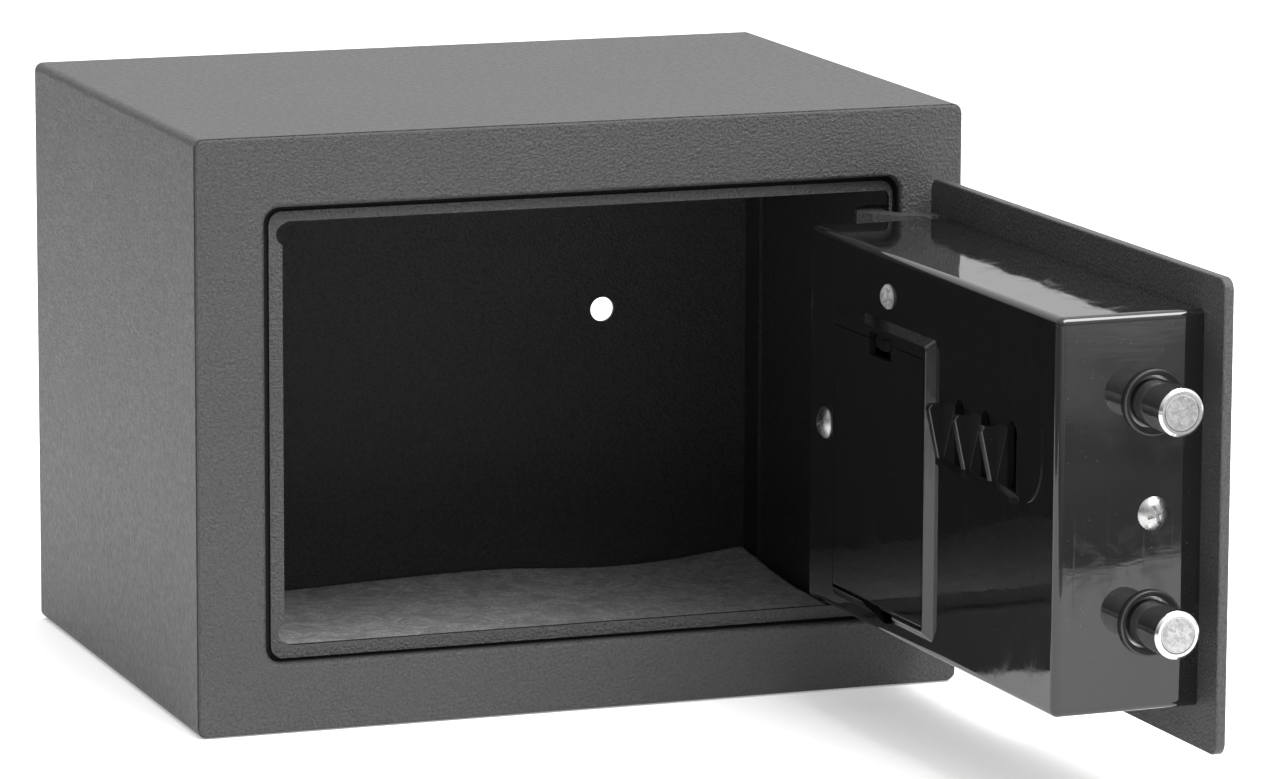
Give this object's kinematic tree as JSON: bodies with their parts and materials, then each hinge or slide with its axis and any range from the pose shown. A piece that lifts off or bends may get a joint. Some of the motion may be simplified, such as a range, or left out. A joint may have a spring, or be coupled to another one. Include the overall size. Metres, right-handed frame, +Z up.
{
  "type": "in room safe",
  "caption": "Small steel room safe with an open side-hinged door, sliding bolts, a moulded inner cover with a battery hatch, a keypad, a knob and a key lock.",
  "frame": {"origin": "centre of the cabinet's underside", "axes": "+Z up, the door opening faces -Y, the hinges are on the +X side"},
  "size_m": [0.2461, 0.3665, 0.17],
  "materials": {
    "powder_coated_steel": "fine textured dark grey powder coat",
    "coated_hinge_steel": "dark grey powder coat, worn at edges",
    "zinc_steel": "zinc-plated sheet steel",
    "grey_felt": "mottled needle-punched grey felt",
    "gloss_black_abs": "high-gloss moulded black ABS",
    "satin_black_plastic": "satin black moulding",
    "knob_plastic": "satin black moulding",
    "tray_plastic": "plain black moulding",
    "bright_chrome": "bright nickel-chrome plating",
    "nickel_contact": "nickel-plated spring leaf",
    "cell_sleeve": null,
    "button_rubber": "grey silicone rubber",
    "circuit_board": "green solder mask",
    "coil_winding": "enamelled copper under tape",
    "lock_metal": "nickel-plated brass",
    "lamp_lens": "clear coloured lens",
    "key_plastic": "light grey key caps with plain digits"
  },
  "bodies": {
    "cabinet": {"body_shell": "powder_coated_steel", "back_panel": "powder_coated_steel", "front_frame": "powder_coated_steel", "felt_mat": "grey_felt", "hinge_bracket_upper": "coated_hinge_steel", "hinge_bracket_lower": "coated_hinge_steel", "hinge_pin_upper": "zinc_steel", "hinge_pin_lower": "zinc_steel"},
    "door": {"door_plate": "powder_coated_steel", "hinge_arm_upper": "coated_hinge_steel", "hinge_arm_lower": "coated_hinge_steel", "inner_cover": "gloss_black_abs", "cover_screw_side": "bright_chrome", "cover_screw_end": "bright_chrome", "bolt_collar_upper": "satin_black_plastic", "bolt_collar_lower": "satin_black_plastic", "bolt_guide": "zinc_steel", "battery_tray": "tray_plastic", "battery_contacts": "nickel_contact", "battery_cell_1": "cell_sleeve", "battery_cell_2": "cell_sleeve", "battery_cell_3": "cell_sleeve", "battery_cell_4": "cell_sleeve", "reset_switch": "tray_plastic", "screw_post": "zinc_steel", "circuit_board": "circuit_board", "solenoid_frame": "zinc_steel", "solenoid_coil": "coil_winding", "knob_ring": "satin_black_plastic", "lock_cylinder": "lock_metal", "lock_rivet": "zinc_steel", "keypad_housing": "satin_black_plastic", "keypad_lamps": "lamp_lens"},
    "bolt_work": {"bolt_upper": "bright_chrome", "bolt_lower": "bright_chrome", "bolt_crossbar": "zinc_steel", "bolt_link": "zinc_steel", "link_stop": "zinc_steel"},
    "knob_unit": {"knob": "knob_plastic", "knob_spindle": "zinc_steel"},
    "lid": {"battery_lid": "gloss_black_abs"},
    "latch": {"lid_latch": "gloss_black_abs"},
    "reset": {"reset_button": "button_rubber"},
    "plunger": {"solenoid_plunger": "bright_chrome"},
    "lock_core": {"lock_plug": "lock_metal", "lock_cam": "zinc_steel"},
    "keyhole_cap": {"lock_cover": "satin_black_plastic"},
    "button_1": {"key_1": "key_plastic"},
    "button_2": {"key_2": "key_plastic"},
    "button_3": {"key_3": "key_plastic"},
    "button_4": {"key_4": "key_plastic"},
    "button_5": {"key_5": "key_plastic"},
    "button_6": {"key_6": "key_plastic"},
    "button_7": {"key_7": "key_plastic"},
    "button_8": {"key_8": "key_plastic"},
    "button_9": {"key_9": "key_plastic"},
    "button_clear": {"key_clear": "key_plastic"},
    "button_0": {"key_0": "key_plastic"},
    "button_enter": {"key_enter": "key_plastic"}
  },
  "joints": [
    {"name": "door_swing", "type": "hinge", "parent": "cabinet", "child": "door", "pos_m": [0.1016, -0.0795, 0.085], "axis": [0, 0, 1], "range_deg": [-91.7, 8]},
    {"name": "knob_turn", "type": "hinge", "parent": "door", "child": "knob_unit", "pos_m": [0.10869, -0.13291, 0.104], "axis": [-0.9996, -0.0297, 0], "range_deg": [0, 90]},
    {"name": "bolts_slide", "type": "slide", "parent": "door", "child": "bolt_work", "axis": [-0.0297, 0.9996, 0], "range_m": [0, 0.01414]},
    {"name": "battery_lid_hinge", "type": "hinge", "parent": "door", "child": "lid", "pos_m": [0.06268, -0.15349, 0.0409], "axis": [0.0297, -0.9996, 0], "range_deg": [0, 80]},
    {"name": "lid_latch_press", "type": "slide", "parent": "lid", "child": "latch", "axis": [0, 0, -1], "range_m": [0, 0.0018], "stiffness_N_per_m": 150},
    {"name": "reset_press", "type": "slide", "parent": "door", "child": "reset", "axis": [0.9996, 0.0297, 0], "range_m": [0, 0.0015], "stiffness_N_per_m": 200},
    {"name": "plunger_slide", "type": "slide", "parent": "door", "child": "plunger", "axis": [0, 0, -1], "range_m": [-0.004, 0]},
    {"name": "key_lock_turn", "type": "hinge", "parent": "door", "child": "lock_core", "pos_m": [0.10869, -0.13291, 0.056], "axis": [-0.9996, -0.0297, 0], "range_deg": [0, 90]},
    {"name": "keyhole_cap_swing", "type": "hinge", "parent": "door", "child": "keyhole_cap", "pos_m": [0.10869, -0.13291, 0.0705], "axis": [-0.9996, -0.0297, 0], "range_deg": [0, 90]},
    {"name": "press_1", "type": "slide", "parent": "door", "child": "button_1", "axis": [-0.9996, -0.0297, 0], "range_m": [0, 0.0012], "stiffness_N_per_m": 250},
    {"name": "press_2", "type": "slide", "parent": "door", "child": "button_2", "axis": [-0.9996, -0.0297, 0], "range_m": [0, 0.0012], "stiffness_N_per_m": 250},
    {"name": "press_3", "type": "slide", "parent": "door", "child": "button_3", "axis": [-0.9996, -0.0297, 0], "range_m": [0, 0.0012], "stiffness_N_per_m": 250},
    {"name": "press_4", "type": "slide", "parent": "door", "child": "button_4", "axis": [-0.9996, -0.0297, 0], "range_m": [0, 0.0012], "stiffness_N_per_m": 250},
    {"name": "press_5", "type": "slide", "parent": "door", "child": "button_5", "axis": [-0.9996, -0.0297, 0], "range_m": [0, 0.0012], "stiffness_N_per_m": 250},
    {"name": "press_6", "type": "slide", "parent": "door", "child": "button_6", "axis": [-0.9996, -0.0297, 0], "range_m": [0, 0.0012], "stiffness_N_per_m": 250},
    {"name": "press_7", "type": "slide", "parent": "door", "child": "button_7", "axis": [-0.9996, -0.0297, 0], "range_m": [0, 0.0012], "stiffness_N_per_m": 250},
    {"name": "press_8", "type": "slide", "parent": "door", "child": "button_8", "axis": [-0.9996, -0.0297, 0], "range_m": [0, 0.0012], "stiffness_N_per_m": 250},
    {"name": "press_9", "type": "slide", "parent": "door", "child": "button_9", "axis": [-0.9996, -0.0297, 0], "range_m": [0, 0.0012], "stiffness_N_per_m": 250},
    {"name": "press_clear", "type": "slide", "parent": "door", "child": "button_clear", "axis": [-0.9996, -0.0297, 0], "range_m": [0, 0.0012], "stiffness_N_per_m": 250},
    {"name": "press_0", "type": "slide", "parent": "door", "child": "button_0", "axis": [-0.9996, -0.0297, 0], "range_m": [0, 0.0012], "stiffness_N_per_m": 250},
    {"name": "press_enter", "type": "slide", "parent": "door", "child": "button_enter", "axis": [-0.9996, -0.0297, 0], "range_m": [0, 0.0012], "stiffness_N_per_m": 250}
  ],
  "couplings": [
    {"joint": "knob_turn", "follows": "bolts_slide", "rad_per_m": 111.07}
  ]
}
